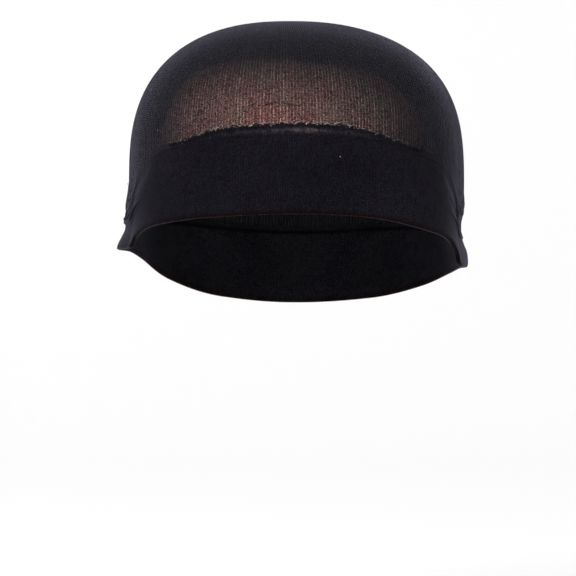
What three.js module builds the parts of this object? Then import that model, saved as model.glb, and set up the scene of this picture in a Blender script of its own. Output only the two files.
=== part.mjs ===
// A stretch wig cap, knitted in one tube: a sheer single layer crown, a turned seam, and a
// doubled band that ends in a folded lower edge.
// Millimetres. The front faces -Y and +Z is up. The origin is the top of the hollow.

import * as THREE from 'three';
import { mergeVertices } from 'three/addons/utils/BufferGeometryUtils.js';

// The hollow inside the cap
const HALF_WIDTH = 75.9;
const FRONT_REACH = 91.5;
const BACK_REACH = 90.5;
const DOME_DEPTH = 73.4; // from the top of the hollow down to its widest level
const TOP_LEAN = 3; // how far the top lies to the left of the middle

// Lower edge, as depths below the top of the hollow
const FRONT_HEM_DEPTH = 89.4;
const BACK_HEM_DEPTH = 128.4;

// Cloth
const CROWN_WALL = 1;
const BAND_WALL = 1.6; // two layers
const BAND_HEIGHT = 34.8;
const HEM_ROLL = 0.5; // how much the folded edge stands proud of the band
const STRIP_WALL = 1.1;
const STRIP_HEIGHT = 3.2; // the stretched strip of the seam, at the middle of the front
const RIDGE_WALL = 2.1;
const RIDGE_TOP_WALL = 1.7;
const RIDGE_HEIGHT = 1.8;
const SEAM_GAP = 0.3; // clearance between two pieces

// Relief
const SIDE_FLARE = 4.6; // how far the left side stands off at its lower edge
const PLEAT_DEPTH = 1.3;
const PLEAT_WIDTH = 2.6;
const PLEAT_FADES = [0.05, 0.95]; // the part of a half wave that a pleat's depth follows

// Roundness of the form. 1 makes a quarter ellipse, and less makes fuller shoulders.
const DROP_POWER = 0.7;
const SIDE_POWER = 0.88;
const FRONT_POWER = 1.02;
const BACK_POWER = 0.95;
const FRONT_PLAN_POWER = 0.93;
const BACK_PLAN_POWER = 0.87;

// Fineness of the mesh
const COLUMNS = 104;
const CROWN_ROWS = 15;
const BAND_ROWS = 7;
const COLUMNS_TO_SIDES = 0.2; // how strongly the columns crowd towards the pleated sides

// The hollow below its widest level. down runs from that level to the back hem, and the
// others are shares of the reach each way.
const LOWER_ROWS = [
  { down: 0, side: 1, front: 1, back: 1 },
  { down: 0.35, side: 1, front: 0.99, back: 0.995 },
  { down: 0.65, side: 1, front: 0.98, back: 0.965 },
  { down: 1, side: 0.97, front: 0.97, back: 0.89 },
];

// Edges of the band. around is 0 at the front and 1 at the back. A hem share runs from the
// front hem's depth to the back hem's, and a band share is of BAND_HEIGHT.
const EDGE_ROWS = [
  { around: 0, leftHem: 0, rightHem: 0, leftBand: 1, rightBand: 1 },
  { around: 0.09, leftHem: 0.015, rightHem: 0.02, leftBand: 1, rightBand: 1 },
  { around: 0.135, leftHem: 0.03, rightHem: 0.045, leftBand: 1, rightBand: 1 },
  { around: 0.175, leftHem: 0.04, rightHem: 0.08, leftBand: 0.99, rightBand: 0.98 },
  { around: 0.22, leftHem: 0.065, rightHem: 0.13, leftBand: 0.95, rightBand: 0.95 },
  { around: 0.265, leftHem: 0.09, rightHem: 0.18, leftBand: 0.95, rightBand: 0.95 },
  { around: 0.305, leftHem: 0.12, rightHem: 0.225, leftBand: 0.9, rightBand: 0.92 },
  { around: 0.34, leftHem: 0.16, rightHem: 0.29, leftBand: 0.74, rightBand: 0.78 },
  { around: 0.38, leftHem: 0.24, rightHem: 0.44, leftBand: 0.64, rightBand: 0.64 },
  { around: 0.393, leftHem: 0.295, rightHem: 0.545, leftBand: 0.61, rightBand: 0.57 },
  { around: 0.41, leftHem: 0.36, rightHem: 0.57, leftBand: 0.57, rightBand: 0.51 },
  { around: 0.49, leftHem: 0.37, rightHem: 0.575, leftBand: 0.42, rightBand: 0.42 },
  { around: 0.55, leftHem: 0.38, rightHem: 0.58, leftBand: 0.42, rightBand: 0.42 },
  { around: 0.62, leftHem: 0.47, rightHem: 0.64, leftBand: 0.56, rightBand: 0.56 },
  { around: 0.72, leftHem: 0.7, rightHem: 0.78, leftBand: 0.8, rightBand: 0.8 },
  { around: 0.86, leftHem: 0.92, rightHem: 0.94, leftBand: 0.97, rightBand: 0.97 },
  { around: 1, leftHem: 1, rightHem: 1, leftBand: 1, rightBand: 1 },
];

// Height of the seam's strip, as shares of STRIP_HEIGHT
const STRIP_ROWS = [
  { around: 0, left: 1, right: 1 },
  { around: 0.09, left: 0.95, right: 0.64 },
  { around: 0.135, left: 0.62, right: 0.22 },
  { around: 0.175, left: 0.2, right: 0 },
  { around: 0.22, left: 0, right: 0 },
  { around: 1, left: 0, right: 0 },
];

// Broad swells of the sides. up is above the hem as a share of BAND_HEIGHT, and out is a
// share of SIDE_FLARE.
const SWELLS = [
  { side: -1, around: 0.5, up: 0, wide: 0.065, tall: 0.25, out: 1 },
  { side: -1, around: 0.52, up: 0.55, wide: 0.06, tall: 0.14, out: 0.2 },
  { side: -1, around: 0.49, up: 0.38, wide: 0.05, tall: 0.12, out: -0.2 },
  { side: 1, around: 0.5, up: 0.2, wide: 0.065, tall: 0.2, out: 0.4 },
  { side: 1, around: 0.49, up: 0.46, wide: 0.1, tall: 0.25, out: -0.68 },
];

// Pleats that fan out from the pinch above each side's lower edge. Their ends lie at around
// and up as above, and depth is a share of PLEAT_DEPTH.
const PLEATS = [
  { side: -1, fromAround: 0.475, fromUp: 0.37, toAround: 0.36, toUp: 0.8, depth: 1 },
  { side: -1, fromAround: 0.465, fromUp: 0.34, toAround: 0.345, toUp: 0.42, depth: 0.8 },
  { side: -1, fromAround: 0.49, fromUp: 0.4, toAround: 0.44, toUp: 0.95, depth: 1 },
  { side: -1, fromAround: 0.53, fromUp: 0.38, toAround: 0.6, toUp: 0.8, depth: 0.8 },
  { side: 1, fromAround: 0.475, fromUp: 0.44, toAround: 0.34, toUp: 0.85, depth: 1 },
  { side: 1, fromAround: 0.465, fromUp: 0.38, toAround: 0.335, toUp: 0.4, depth: 0.7 },
  { side: 1, fromAround: 0.49, fromUp: 0.5, toAround: 0.42, toUp: 1.1, depth: 0.9 },
  { side: 1, fromAround: 0.53, fromUp: 0.46, toAround: 0.6, toUp: 0.85, depth: 0.8 },
];

const HALF_GIRTH = (Math.PI / 2) * (HALF_WIDTH + (FRONT_REACH + BACK_REACH) / 2);

// Reads one column of a table at any place, on a smooth curve that never overshoots a row.
function readRows(rows, key, column, place) {
  const last = rows.length - 1;
  const climb = (i) => (rows[i][column] - rows[i - 1][column]) / (rows[i][key] - rows[i - 1][key]);
  const slope = (i) => {
    if (i === 0 || i === last || climb(i) * climb(i + 1) <= 0) return 0;
    return (2 * climb(i) * climb(i + 1)) / (climb(i) + climb(i + 1));
  };
  const above = rows.findIndex((row) => row[key] >= place);
  const i = above < 0 ? last - 1 : Math.max(above - 1, 0);
  const step = rows[i + 1][key] - rows[i][key];
  const t = THREE.MathUtils.clamp((place - rows[i][key]) / step, 0, 1);
  const ease = t * t * (3 - 2 * t);
  const start = t * (1 - t) * (1 - t) * step * slope(i);
  const end = t * t * (1 - t) * step * slope(i + 1);
  return THREE.MathUtils.lerp(rows[i][column], rows[i + 1][column], ease) + start - end;
}

// A turn is -1 at the back by way of the left, 0 at the front and 1 at the back by the right.
function shareAt(turn, rows, leftColumn, rightColumn) {
  return readRows(rows, 'around', turn < 0 ? leftColumn : rightColumn, Math.abs(turn));
}

function hemDepth(turn) {
  const share = shareAt(turn, EDGE_ROWS, 'leftHem', 'rightHem');
  return THREE.MathUtils.lerp(FRONT_HEM_DEPTH, BACK_HEM_DEPTH, share);
}

function bandTopDepth(turn) {
  return hemDepth(turn) - BAND_HEIGHT * shareAt(turn, EDGE_ROWS, 'leftBand', 'rightBand');
}

function ridgeBottomDepth(turn) {
  return bandTopDepth(turn) - SEAM_GAP - STRIP_HEIGHT * shareAt(turn, STRIP_ROWS, 'left', 'right');
}

function crownEdgeDepth(turn) {
  return ridgeBottomDepth(turn) - RIDGE_HEIGHT - SEAM_GAP;
}

// A bump of height 1 that fades out over about one width.
function bump(distance, width) {
  return Math.exp(-((distance / width) ** 2));
}

// How far the cloth stands out from the plain form, from its swells and pleats.
function relief(turn, depth) {
  const side = turn < 0 ? -1 : 1;
  const around = Math.abs(turn);
  const up = (hemDepth(turn) - depth) / BAND_HEIGHT;
  let out = 0;
  for (const swell of SWELLS.filter((row) => row.side === side)) {
    const spread = bump(around - swell.around, swell.wide) * bump(up - swell.up, swell.tall);
    out += SIDE_FLARE * swell.out * spread;
  }
  for (const pleat of PLEATS.filter((row) => row.side === side)) {
    const from = new THREE.Vector2(pleat.fromAround * HALF_GIRTH, pleat.fromUp * BAND_HEIGHT);
    const to = new THREE.Vector2(pleat.toAround * HALF_GIRTH, pleat.toUp * BAND_HEIGHT);
    const here = new THREE.Vector2(around * HALF_GIRTH, up * BAND_HEIGHT);
    const run = to.clone().sub(from);
    const along = THREE.MathUtils.clamp(here.clone().sub(from).dot(run) / run.lengthSq(), 0, 1);
    const nearest = from.addScaledVector(run, along);
    const fade = Math.sin(Math.PI * Math.sqrt(THREE.MathUtils.lerp(...PLEAT_FADES, along)));
    out += PLEAT_DEPTH * pleat.depth * fade * bump(here.distanceTo(nearest), PLEAT_WIDTH);
  }
  return out;
}

// The plain form of the hollow, at one turn and depth.
function plainPoint(turn, depth) {
  const level = Math.max(1 - depth / DOME_DEPTH, 0);
  const rise = level ** (1 / DROP_POWER);
  const run = Math.sqrt(1 - rise * rise);
  const down = Math.max(depth - DOME_DEPTH, 0) / (BACK_HEM_DEPTH - DOME_DEPTH);
  const across = Math.sin(turn * Math.PI);
  const along = Math.cos(turn * Math.PI);
  const ahead = along > 0;
  const plan = ahead ? FRONT_PLAN_POWER : BACK_PLAN_POWER;
  const width = HALF_WIDTH * run ** SIDE_POWER * readRows(LOWER_ROWS, 'down', 'side', down);
  const lower = readRows(LOWER_ROWS, 'down', ahead ? 'front' : 'back', down);
  const reach = ahead ? -FRONT_REACH * run ** FRONT_POWER : BACK_REACH * run ** BACK_POWER;
  const x = Math.sign(across) * width * Math.abs(across) ** plan;
  const y = reach * lower * Math.abs(along) ** plan;
  return new THREE.Vector3(x - TOP_LEAN * rise ** 4, y, -depth);
}

// The way out of the cloth, square to the plain form.
function outward(turn, depth) {
  const step = 1e-3;
  const depthHere = Math.max(depth, DOME_DEPTH * step);
  const round = plainPoint(turn + step, depthHere).sub(plainPoint(turn - step, depthHere));
  const down = plainPoint(turn, depthHere + step).sub(plainPoint(turn, depthHere - step));
  return down.cross(round).normalize();
}

// A point of the cloth, so far out from its inner face.
function clothPoint(turn, depth, out) {
  if (depth <= 0) return new THREE.Vector3(-TOP_LEAN, 0, out);
  const way = outward(turn, depth);
  return plainPoint(turn, depth).addScaledVector(way, relief(turn, depth) + out);
}

// Columns stand closer together at the sides, where the pleats are.
function columnTurn(index) {
  const share = (2 * index) / COLUMNS - 1;
  return share + (COLUMNS_TO_SIDES / Math.PI) * Math.sin(2 * Math.PI * share);
}

// Wraps a profile round the cap. A closed profile is a ring's section, and an open one
// starts and ends at the top.
function wrap(profileAt, closed) {
  const positions = [];
  const triangles = [];
  let size = 0;
  for (let i = 0; i < COLUMNS; i++) {
    const profile = profileAt(columnTurn(i));
    size = profile.length;
    profile.forEach((point) => positions.push(point.x, point.y, point.z));
  }
  for (let i = 0; i < COLUMNS; i++) {
    const next = (i + 1) % COLUMNS;
    for (let j = 0; j < (closed ? size : size - 1); j++) {
      const k = (j + 1) % size;
      const corners = [i * size + j, i * size + k, next * size + k, next * size + j];
      triangles.push(corners[0], corners[1], corners[2], corners[0], corners[2], corners[3]);
    }
  }
  const loose = new THREE.BufferGeometry();
  loose.setAttribute('position', new THREE.Float32BufferAttribute(positions, 3));
  loose.setIndex(triangles);
  return withoutSlivers(mergeVertices(loose, 1e-4));
}

// Drops the triangles that close up to a line where a profile meets the top.
function withoutSlivers(geometry) {
  const index = geometry.index.array;
  const kept = [];
  for (let i = 0; i < index.length; i += 3) {
    const [a, b, c] = index.slice(i, i + 3);
    if (a !== b && b !== c && c !== a) kept.push(a, b, c);
  }
  geometry.setIndex(kept);
  geometry.computeVertexNormals();
  return geometry;
}

// The crown's rows close up towards the top, so that they stay about even along the cloth.
function crownProfile(turn) {
  const edge = crownEdgeDepth(turn);
  const depths = [];
  for (let row = 0; row <= CROWN_ROWS; row++) {
    depths.push(edge * (1 - Math.cos((Math.PI / 2) * (row / CROWN_ROWS))));
  }
  const outer = depths.map((depth) => clothPoint(turn, depth, CROWN_WALL));
  const inner = depths.map((depth) => clothPoint(turn, depth, 0));
  return [...outer, ...inner.reverse()];
}

// A strip that the stretched front pulls open, with the turned ridge along its top.
function seamProfile(turn) {
  const bottom = bandTopDepth(turn);
  const shoulder = ridgeBottomDepth(turn);
  const top = shoulder - RIDGE_HEIGHT;
  return [
    clothPoint(turn, top, 0),
    clothPoint(turn, top, RIDGE_TOP_WALL),
    clothPoint(turn, (top + shoulder) / 2, RIDGE_WALL),
    clothPoint(turn, shoulder, STRIP_WALL),
    clothPoint(turn, bottom, STRIP_WALL),
    clothPoint(turn, bottom, 0),
  ];
}

// The doubled band, from its top down to the rounded fold of the hem.
function bandProfile(turn) {
  const top = bandTopDepth(turn) + SEAM_GAP;
  const hem = hemDepth(turn);
  const fold = hem - BAND_WALL / 2;
  const depths = [];
  for (let row = 0; row <= BAND_ROWS; row++) {
    depths.push(THREE.MathUtils.lerp(top, fold, row / BAND_ROWS));
  }
  const proud = (depth) => HEM_ROLL * bump(fold - depth, BAND_WALL * 2);
  const outer = depths.map((depth) => clothPoint(turn, depth, BAND_WALL + proud(depth)));
  const inner = depths.map((depth) => clothPoint(turn, depth, 0));
  const underside = clothPoint(turn, hem, BAND_WALL / 2);
  return [...outer, underside, ...inner.reverse()];
}

function piece(name, geometry, look) {
  const mesh = new THREE.Mesh(geometry, new THREE.MeshStandardMaterial(look));
  mesh.name = name;
  return mesh;
}

function makeWigCap() {
  const cap = new THREE.Group();
  cap.name = 'wig_cap';
  cap.add(piece('crown', wrap(crownProfile, false), { color: 0x35323a, roughness: 0.85, metalness: 0 }));
  cap.add(piece('seam', wrap(seamProfile, true), { color: 0x26242a, roughness: 0.9, metalness: 0 }));
  cap.add(piece('band', wrap(bandProfile, true), { color: 0x18171d, roughness: 0.9, metalness: 0 }));
  return cap;
}

export default makeWigCap();
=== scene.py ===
"""A stretch wig cap, knitted in one tube: a sheer crown of ribs and courses, a turned seam with
its picots and its pulled strip, and a doubled band that ends in a folded lower edge.

Sizes are in millimetres and become metres when a mesh is made. The front faces -Y, +Z is up, and
the origin is the top of the hollow."""

import math

import bpy
import numpy as np
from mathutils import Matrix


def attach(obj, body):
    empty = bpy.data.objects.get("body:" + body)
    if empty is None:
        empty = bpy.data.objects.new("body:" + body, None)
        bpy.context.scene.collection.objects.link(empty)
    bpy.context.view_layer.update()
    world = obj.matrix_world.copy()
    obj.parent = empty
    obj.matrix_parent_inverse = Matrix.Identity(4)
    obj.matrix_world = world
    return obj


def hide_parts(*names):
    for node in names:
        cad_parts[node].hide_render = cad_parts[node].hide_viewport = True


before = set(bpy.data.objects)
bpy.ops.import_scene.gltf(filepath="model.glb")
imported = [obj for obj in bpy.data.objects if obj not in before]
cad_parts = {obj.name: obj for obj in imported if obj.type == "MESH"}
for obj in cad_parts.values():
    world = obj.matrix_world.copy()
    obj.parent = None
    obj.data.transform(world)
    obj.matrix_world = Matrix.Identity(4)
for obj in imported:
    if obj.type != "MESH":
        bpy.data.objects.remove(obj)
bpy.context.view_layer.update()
scene = bpy.context.scene

MM = 0.001
SEED = 11


# Sizes


def table(columns, rows):
    """A short table as one array for each named column."""
    return dict(zip(columns.split(), np.array(rows, float).T))


# The hollow inside the cap
HALF_WIDTH = 75.9
FRONT_REACH = 91.5
BACK_REACH = 90.5
DOME_DEPTH = 73.4
TOP_LEAN = 3
FRONT_HEM_DEPTH = 89.4
BACK_HEM_DEPTH = 128.4

# Cloth
BAND_WALL = 1.6
BAND_HEIGHT = 34.8
HEM_ROLL = 0.5
STRIP_HEIGHT = 2.5
RIDGE_HEIGHT = 1.4
SEAM_GAP = 0.3

# Roundness of the form
DROP_POWER = 0.7
SIDE_POWER = 0.88
FRONT_POWER = 1.02
BACK_POWER = 0.95
FRONT_PLAN_POWER = 0.93
BACK_PLAN_POWER = 0.87

# Relief
SIDE_FLARE = 4.6
PLEAT_DEPTH = 1.3
PLEAT_FADES = (0.05, 0.95)
CREASE_WIDTH = 0.5
CREASE_RISE = 0.5

# Knit
WALES = 368
COURSES = 116
BAND_COURSES = 31
FILM_INNER = 0.6  # faces of the sheer film, out from the hollow
FILM_OUTER = 0.9
WALE_RADIUS = 0.22
COURSE_RADIUS = 0.11
GAPE_PLACE = 5.5  # where the strip below the seam is pulled open the most
GAPE_WIDTH = 5.5
SIDE_MIDDLE = 0.46  # turns from the front to the middle of each side
STITCHES_CLEAR = SIDE_MIDDLE - 0.25
GATHER = 0.3  # how far behind the top the ribs meet, as a share of the way to the seam
DRAWN_RADIUS = 0.13
UPRIGHT_RADIUS = 0.2
LINT_RADIUS = 0.1
TUCK = 1.5  # how far the sheer film reaches down behind the seam's ridge

# Ribs, along their way from the seam (0) to the top (1)
JOININGS = 4  # how often one rib in two joins its neighbour
FIRST_JOINING = 0.235  # how far from the top the first ribs end, halved at each joining
LAST_END = 0.985  # where the ribs that are left end
JOINING_LENGTH = 0.07
JOINING_REACH = 0.8  # how far a rib comes to its neighbour

# Fineness of the meshes
RIB_STEPS = 42
COURSE_STEPS = 232
LEAST_STEPS = 28
CROWN_COLUMNS = 320
CROWN_ROWS = 60
RIDGE_SIDES = 8
BAND_COLUMNS = 960
BAND_ROWS = 58
FOLD_ROWS = 6
LINING_ROWS = 14

LOWER = table(
    "down side front back",
    [
        (0, 1, 1, 1),
        (0.35, 1, 0.99, 0.995),
        (0.65, 1, 0.98, 0.965),
        (1, 0.97, 0.97, 0.89),
    ],
)

EDGES = table(
    "around left_hem right_hem left_band right_band",
    [
        (0, 0, 0, 1, 1),
        (0.09, 0.015, 0.02, 1, 1),
        (0.135, 0.03, 0.045, 1, 1),
        (0.175, 0.04, 0.08, 0.99, 0.98),
        (0.22, 0.065, 0.13, 0.95, 0.95),
        (0.265, 0.09, 0.18, 0.95, 0.95),
        (0.305, 0.12, 0.225, 0.9, 0.92),
        (0.34, 0.16, 0.29, 0.74, 0.78),
        (0.38, 0.24, 0.44, 0.64, 0.64),
        (0.393, 0.295, 0.545, 0.61, 0.57),
        (0.41, 0.36, 0.57, 0.57, 0.51),
        (0.49, 0.37, 0.575, 0.42, 0.42),
        (0.55, 0.38, 0.58, 0.42, 0.42),
        (0.62, 0.47, 0.64, 0.56, 0.56),
        (0.72, 0.7, 0.78, 0.8, 0.8),
        (0.86, 0.92, 0.94, 0.97, 0.97),
        (1, 1, 1, 1, 1),
    ],
)

STRIP = table(
    "around left right",
    [
        (0, 1, 1),
        (0.09, 0.8, 0.78),
        (0.135, 0.62, 0.32),
        (0.175, 0.2, 0),
        (0.22, 0, 0),
        (1, 0, 0),
    ],
)

SWELLS = table(
    "side around up wide tall out",
    [
        (-1, 0.5, 0, 0.065, 0.25, 1),
        (-1, 0.52, 0.55, 0.06, 0.14, 0.2),
        (-1, 0.49, 0.38, 0.05, 0.12, -0.2),
        (1, 0.5, 0.2, 0.065, 0.2, 0.4),
        (1, 0.49, 0.46, 0.1, 0.25, -0.68),
    ],
)

# Pleats fan out from the pinch above each side's lower edge. depth is a share of PLEAT_DEPTH.
PLEATS = table(
    "side from_around from_up to_around to_up depth width",
    [
        (-1, 0.475, 0.37, 0.36, 0.8, 1, 2.6),
        (-1, 0.465, 0.34, 0.345, 0.42, 0.8, 2.6),
        (-1, 0.49, 0.4, 0.44, 0.95, 1, 2.6),
        (-1, 0.53, 0.38, 0.6, 0.8, 0.8, 2.6),
        (1, 0.475, 0.44, 0.34, 0.85, 1, 2.6),
        (1, 0.465, 0.38, 0.335, 0.4, 0.7, 2.6),
        (1, 0.49, 0.5, 0.42, 1.1, 0.9, 2.6),
        (1, 0.53, 0.46, 0.6, 0.85, 0.8, 2.6),
        (-1, 0.47, 0.38, 0.4, 1.15, 0.5, 1.1),
        (-1, 0.468, 0.35, 0.37, 0.56, 0.45, 1.1),
        (-1, 0.51, 0.42, 0.5, 1.3, 0.4, 1.3),
        (-1, 0.54, 0.36, 0.64, 0.5, 0.4, 1.3),
        (1, 0.475, 0.45, 0.39, 1.25, 0.45, 1.1),
        (1, 0.465, 0.4, 0.345, 0.6, 0.4, 1.1),
        (1, 0.51, 0.5, 0.5, 1.4, 0.4, 1.3),
        (1, 0.54, 0.44, 0.64, 0.55, 0.4, 1.3),
    ],
)

# Where the knit of the crown is pulled open, over the front
OPEN_TOP = -20.5  # the height at which it starts to open, at the middle
OPEN_TOP_FALLS = (0.0016, 0.0045)  # how fast that height falls to the left and to the right
FULLY_OPEN = -56.5
FULLY_OPEN_RISES = 0.0022
OPEN_START = 0.14  # how softly the opening starts
LEFT_FADE = (16, 54)  # where it starts to close again, and over how much
RIGHT_FADE = (-11, 75)
DENSE_RELIEF = 0.22  # how much of its thickness a thread shows where the knit is dense

# The upper border of the part that is pulled open
BORDER = table(
    "x z",
    [
        (-61, -55),
        (-56, -41),
        (-52, -33.5),
        (-47, -27),
        (-37.5, -23.7),
        (-20.5, -21),
        (-10, -20.8),
        (2, -22.4),
        (23, -24.4),
        (32, -26.2),
        (41, -31.5),
        (50, -39.5),
        (58, -55),
    ],
)
BORDER_SOFT = 0.5
FAR_ABOVE = -9  # stands for any place at the back

HALF_GIRTH = (math.pi / 2) * (HALF_WIDTH + (FRONT_REACH + BACK_REACH) / 2)


# Form


def read_rows(rows, key, column, place):
    """One column of a table at any place, on a smooth curve that never overshoots a row."""
    at, value = rows[key], rows[column]
    climb = np.diff(value) / np.diff(at)
    product = climb[:-1] * climb[1:]
    total = np.where(product > 0, climb[:-1] + climb[1:], 1)
    slope = np.pad(np.where(product > 0, 2 * product / total, 0), 1)
    i = np.clip(np.searchsorted(at, place) - 1, 0, len(at) - 2)
    step = at[i + 1] - at[i]
    t = np.clip((place - at[i]) / step, 0, 1)
    start = t * (1 - t) ** 2 * step * slope[i]
    end = t * t * (1 - t) * step * slope[i + 1]
    return value[i] + (value[i + 1] - value[i]) * ease(t) + start - end


def ease(t):
    """A smooth way from 0 to 1."""
    t = np.clip(t, 0, 1)
    return t * t * (3 - 2 * t)


def share_at(turn, rows, left, right):
    """A turn is -1 at the back by way of the left, 0 at the front, and 1 at the back by the right."""
    around = np.abs(turn)
    by_left = read_rows(rows, "around", left, around)
    by_right = read_rows(rows, "around", right, around)
    return np.where(turn < 0, by_left, by_right)


def hem_depth(turn):
    share = share_at(turn, EDGES, "left_hem", "right_hem")
    return FRONT_HEM_DEPTH + (BACK_HEM_DEPTH - FRONT_HEM_DEPTH) * share


def band_top_depth(turn):
    return hem_depth(turn) - BAND_HEIGHT * share_at(turn, EDGES, "left_band", "right_band")


def strip_share(turn):
    return share_at(turn, STRIP, "left", "right")


def ridge_bottom_depth(turn):
    return band_top_depth(turn) - SEAM_GAP - STRIP_HEIGHT * strip_share(turn)


def crown_edge_depth(turn):
    return ridge_bottom_depth(turn) - RIDGE_HEIGHT - SEAM_GAP


def bump(distance, width):
    """A bump of height 1 that fades out over about one width."""
    return np.exp(-((distance / width) ** 2))


def relief(turn, depth):
    """How far the cloth stands out from the plain form, from its swells and pleats."""
    side = np.where(turn < 0, -1, 1)
    around = np.abs(turn)
    up = (hem_depth(turn) - depth) / BAND_HEIGHT
    out = np.zeros(np.shape(up))
    for i, swell_side in enumerate(SWELLS["side"]):
        swell = {key: column[i] for key, column in SWELLS.items()}
        spread = bump(around - swell["around"], swell["wide"]) * bump(up - swell["up"], swell["tall"])
        out += np.where(side == swell_side, SIDE_FLARE * swell["out"] * spread, 0)
    for rise, width, apart in pleats_near(turn, depth):
        out += rise * bump(apart, width)
    return out


def pleats_near(turn, depth):
    """For each pleat, its rise along its line, its width, and how far each place lies from it."""
    side = np.where(turn < 0, -1, 1)
    up = hem_depth(turn) - depth
    here = np.stack([np.abs(turn) * HALF_GIRTH + 0 * up, up], -1)
    for i, pleat_side in enumerate(PLEATS["side"]):
        pleat = {key: column[i] for key, column in PLEATS.items()}
        start = np.array([pleat["from_around"] * HALF_GIRTH, pleat["from_up"] * BAND_HEIGHT])
        run = np.array([pleat["to_around"] * HALF_GIRTH, pleat["to_up"] * BAND_HEIGHT]) - start
        along = np.clip((here - start) @ run / (run @ run), 0, 1)
        apart = np.linalg.norm(here - start - along[..., None] * run, axis=-1)
        fade = np.sin(math.pi * np.sqrt(PLEAT_FADES[0] + (PLEAT_FADES[1] - PLEAT_FADES[0]) * along))
        yield np.where(side == pleat_side, PLEAT_DEPTH * pleat["depth"] * fade, 0), pleat["width"], apart


def crease_shade(turn, depth):
    """The light line on the crest of each pleat, and the dark one beside it: a small rise of the cloth, and a
    painted highlight and painted shade in the band's colour.
    """
    shade = np.zeros(np.broadcast(turn, depth).shape)
    for rise, _, apart in pleats_near(turn, depth):
        shade += rise * (bump(apart, CREASE_WIDTH) - 0.5 * bump(apart - 2.2 * CREASE_WIDTH, CREASE_WIDTH))
    return shade


def plain_point(turn, depth):
    """The plain form of the hollow, at each turn and depth."""
    rise = np.maximum(1 - depth / DOME_DEPTH, 0) ** (1 / DROP_POWER)
    run = np.sqrt(np.maximum(1 - rise * rise, 0))
    down = np.maximum(depth - DOME_DEPTH, 0) / (BACK_HEM_DEPTH - DOME_DEPTH)
    across, along = np.sin(turn * math.pi), np.cos(turn * math.pi)
    plan = np.where(along > 0, FRONT_PLAN_POWER, BACK_PLAN_POWER)
    width = HALF_WIDTH * run**SIDE_POWER * read_rows(LOWER, "down", "side", down)
    front = -FRONT_REACH * run**FRONT_POWER * read_rows(LOWER, "down", "front", down)
    back = BACK_REACH * run**BACK_POWER * read_rows(LOWER, "down", "back", down)
    x = np.sign(across) * width * np.abs(across) ** plan - TOP_LEAN * rise**4
    y = np.where(along > 0, front, back) * np.abs(along) ** plan
    return np.stack([x, y, -depth + 0 * turn], -1)


def outward(turn, depth):
    """The way out of the cloth, square to the plain form."""
    step = 1e-3
    depth = np.maximum(depth, DOME_DEPTH * step)
    around = plain_point(turn + step, depth) - plain_point(turn - step, depth)
    down = plain_point(turn, depth + step) - plain_point(turn, depth - step)
    way = np.cross(down, around)
    return way / np.linalg.norm(way, axis=-1, keepdims=True)


def cloth_point(turn, depth, out):
    """Points of the cloth, so far out from its inner face."""
    turn, depth, out = np.broadcast_arrays(turn, depth, out)
    way = outward(turn, depth)
    points = plain_point(turn, depth) + way * (relief(turn, depth) + out)[..., None]
    top = np.stack([np.full(out.shape, -float(TOP_LEAN)), np.zeros(out.shape), out], -1)
    return np.where((depth <= 0)[..., None], top, points)


def turns_at(girth_share):
    """Turns at shares of the way round the cloth, from the back by way of the left."""
    turn = np.linspace(-1, 1, 4001)
    points = plain_point(turn, np.full(turn.shape, 60.0))
    gone = np.append(0, np.cumsum(np.linalg.norm(np.diff(points, axis=0), axis=1)))
    return np.interp(girth_share * gone[-1], gone, turn)


def even_turns(count, first=0.0):
    """Turns that lie evenly along the cloth, as its wales do."""
    return turns_at((np.arange(count) + first) / count)


def crowded_shares(count, place, width, times):
    """Shares of the way round that lie closer together at both sides, where the pleats are."""
    share = np.linspace(0, 1, 4001)
    gone = np.cumsum(1 + times * bump(np.abs(turns_at(share)) - place, width))
    return np.interp(np.arange(count) / count, (gone - gone[0]) / (gone[-1] - gone[0]), share)


def at_front(turn):
    """1 where the seam stands out at the front, and 0 at the sides and back, where it lies flat."""
    return 1 - ease((np.abs(turn) - 0.15) / 0.12)


def crown_depths(turn, share):
    """Depths at even shares of the way from the seam (0) to the top (1), a row for each share."""
    steps = np.linspace(0, math.pi / 2, 241)[:, None]
    depth = crown_edge_depth(turn) * (1 - np.cos(steps))
    points = plain_point(turn + 0 * depth, depth)
    gone = np.cumsum(np.linalg.norm(np.diff(points, axis=0), axis=2), axis=0)
    gone = np.vstack([np.zeros(len(turn)), gone])
    columns = [np.interp((1 - share) * gone[-1, i], gone[:, i], depth[:, i]) for i in range(len(turn))]
    return np.stack(columns, 1)


CROWN_TURNS = np.linspace(-1, 1, 721)
CROWN_SHARES = np.linspace(0, 1, 201)
CROWN_DEPTHS = crown_depths(CROWN_TURNS, CROWN_SHARES)


def crown_place(foot, climb):
    """Turn and depth on the crown, by the turn of a rib's foot and how far up the rib it lies."""
    x = np.sin(math.pi * foot) * (1 - climb)
    y = -np.cos(math.pi * foot) * (1 - climb) + GATHER * climb
    turn = np.arctan2(x, -y) / math.pi
    row = (1 - np.hypot(x, y)).clip(0, 1) * (len(CROWN_SHARES) - 1)
    column = (turn + 1) / 2 * (len(CROWN_TURNS) - 1)
    i = np.minimum(row.astype(int), len(CROWN_SHARES) - 2)
    j = np.minimum(column.astype(int), len(CROWN_TURNS) - 2)
    upper = CROWN_DEPTHS[i, j] * (1 - (column - j)) + CROWN_DEPTHS[i, j + 1] * (column - j)
    lower = CROWN_DEPTHS[i + 1, j] * (1 - (column - j)) + CROWN_DEPTHS[i + 1, j + 1] * (column - j)
    return turn, upper * (1 - (row - i)) + lower * (row - i)


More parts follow.
